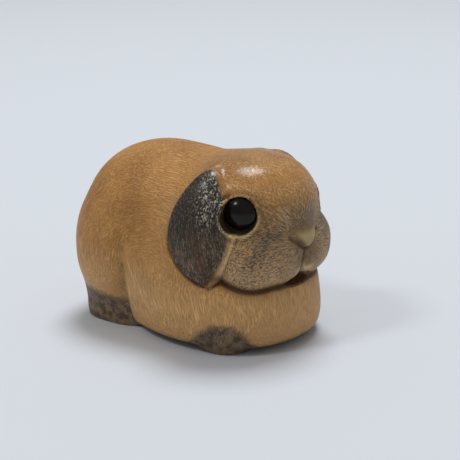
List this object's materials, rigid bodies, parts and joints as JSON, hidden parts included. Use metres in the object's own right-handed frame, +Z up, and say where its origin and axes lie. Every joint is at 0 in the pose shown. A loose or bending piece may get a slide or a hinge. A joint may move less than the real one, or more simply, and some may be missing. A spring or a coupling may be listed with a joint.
{
  "type": "rabbit figurine",
  "caption": "Small carved wooden rabbit crouching with drooping ears, stained feet and muzzle, and inlaid dark eyes.",
  "frame": {"origin": "middle of the footprint, on the plane that the four soles stand on", "axes": "-Y towards the nose, +X towards the rabbit's left side, +Z up"},
  "size_m": [0.0262, 0.0386, 0.0269],
  "materials": {
    "carved_wood": "hand carved, hair lines cut over the whole surface, thinly oiled and polished, ears, feet and muzzle stained dark",
    "eye_bead": "dark polished bead, set in a round socket"
  },
  "bodies": {
    "root": {"carved_body": "carved_wood", "eye_right": "eye_bead", "eye_left": "eye_bead"}
  },
  "joints": []
}
